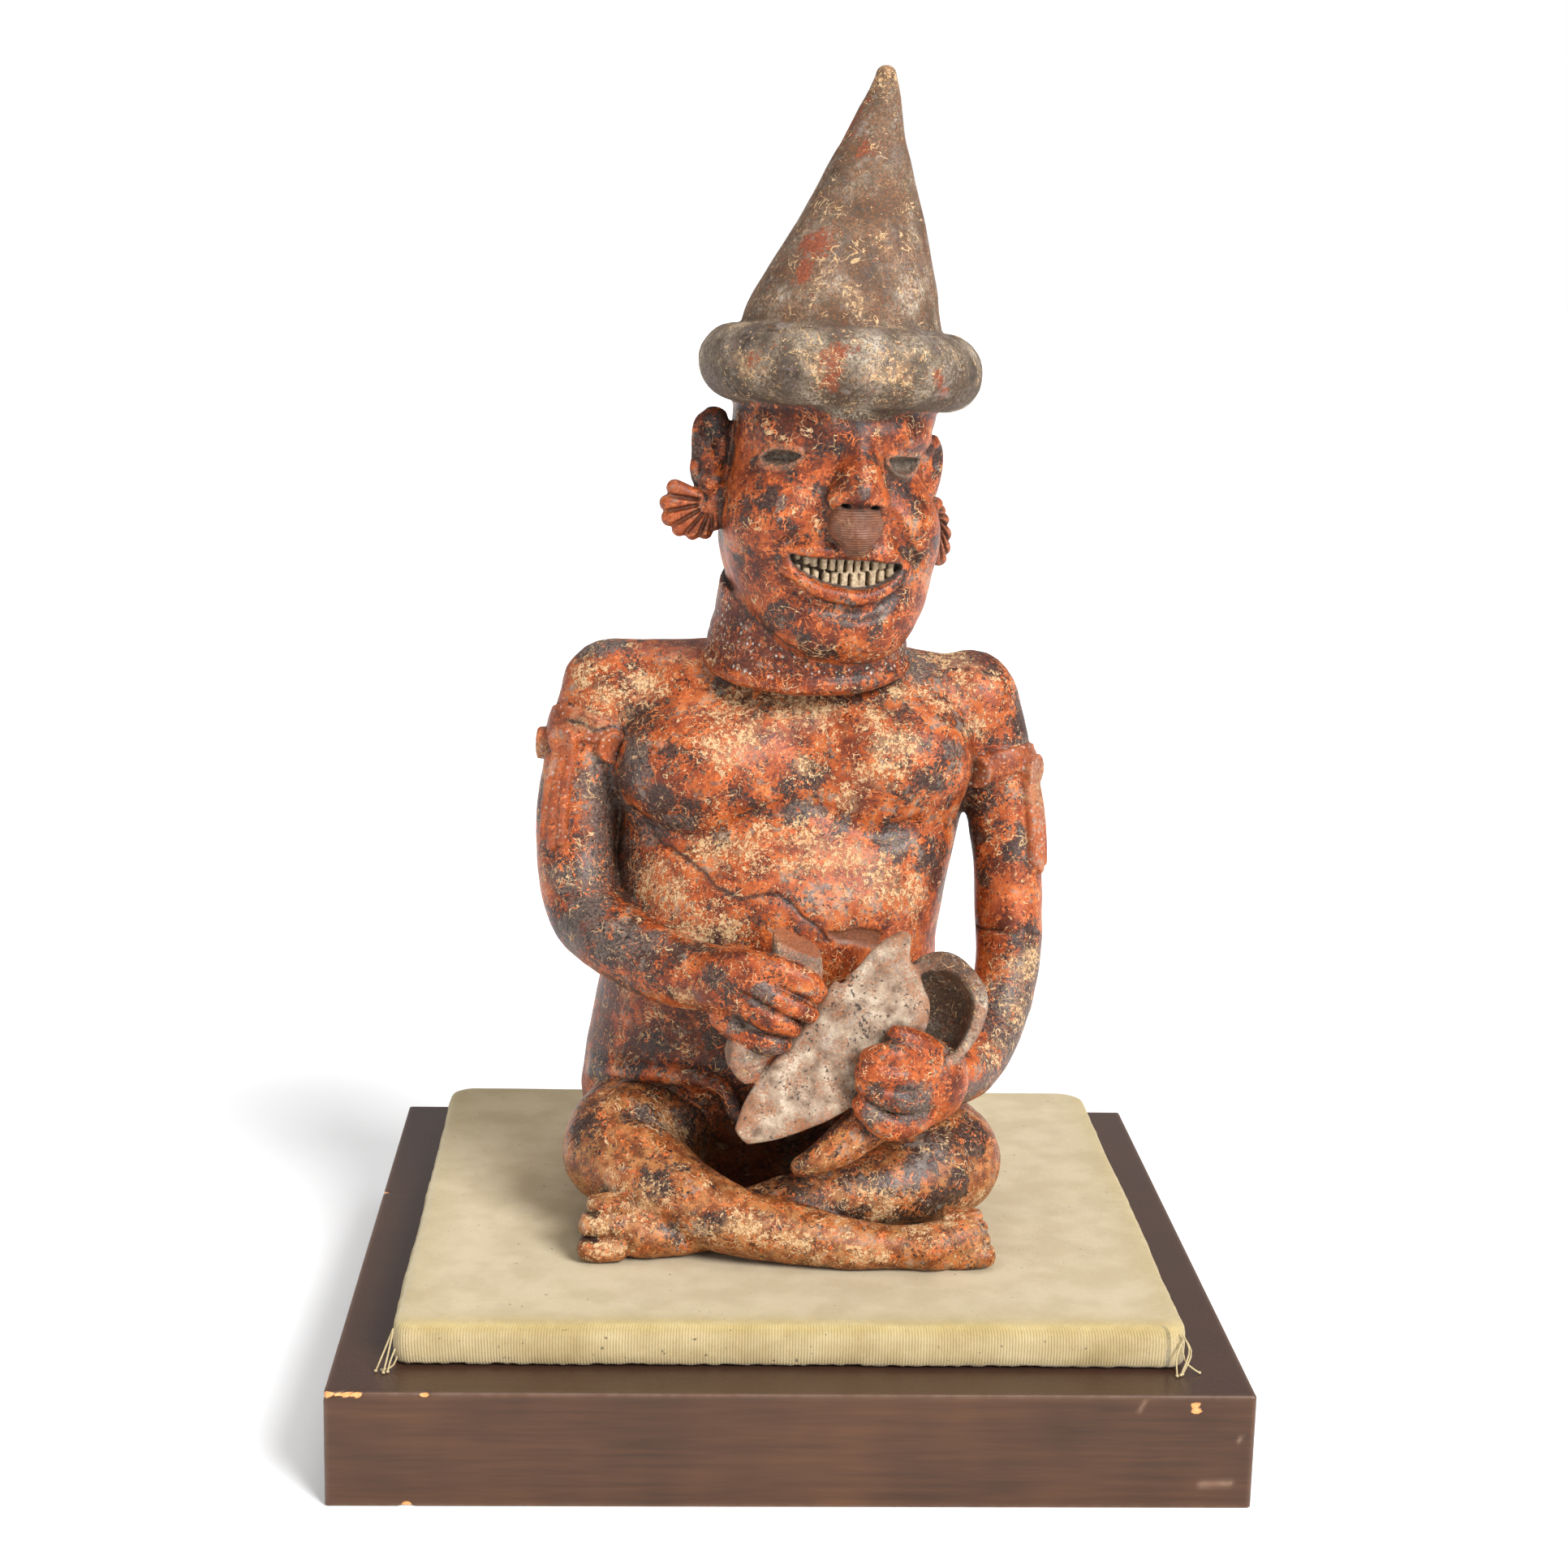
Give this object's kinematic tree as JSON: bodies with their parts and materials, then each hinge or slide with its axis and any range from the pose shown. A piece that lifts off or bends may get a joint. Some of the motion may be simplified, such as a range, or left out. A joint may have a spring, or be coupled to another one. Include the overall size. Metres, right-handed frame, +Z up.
{
  "type": "nayarit figure",
  "caption": "Hollow clay figure of a seated hand-drum player in a pointed hat, on a velvet-covered pad and a low wooden plinth.",
  "frame": {"origin": "middle of the underside of the plinth", "axes": "+Z up, the figure faces -Y, +X to the figure's left"},
  "size_m": [0.46, 0.43, 0.7042],
  "materials": {
    "clay": "burnished orange-red slip over buff clay, with black and cream mottling",
    "velvet": "short-pile velvet, worn and frayed at the corners",
    "stained_wood": "dark brown stain under glossy lacquer"
  },
  "bodies": {
    "root": {"figure": "clay", "pad": "velvet", "plinth": "stained_wood"}
  },
  "joints": []
}
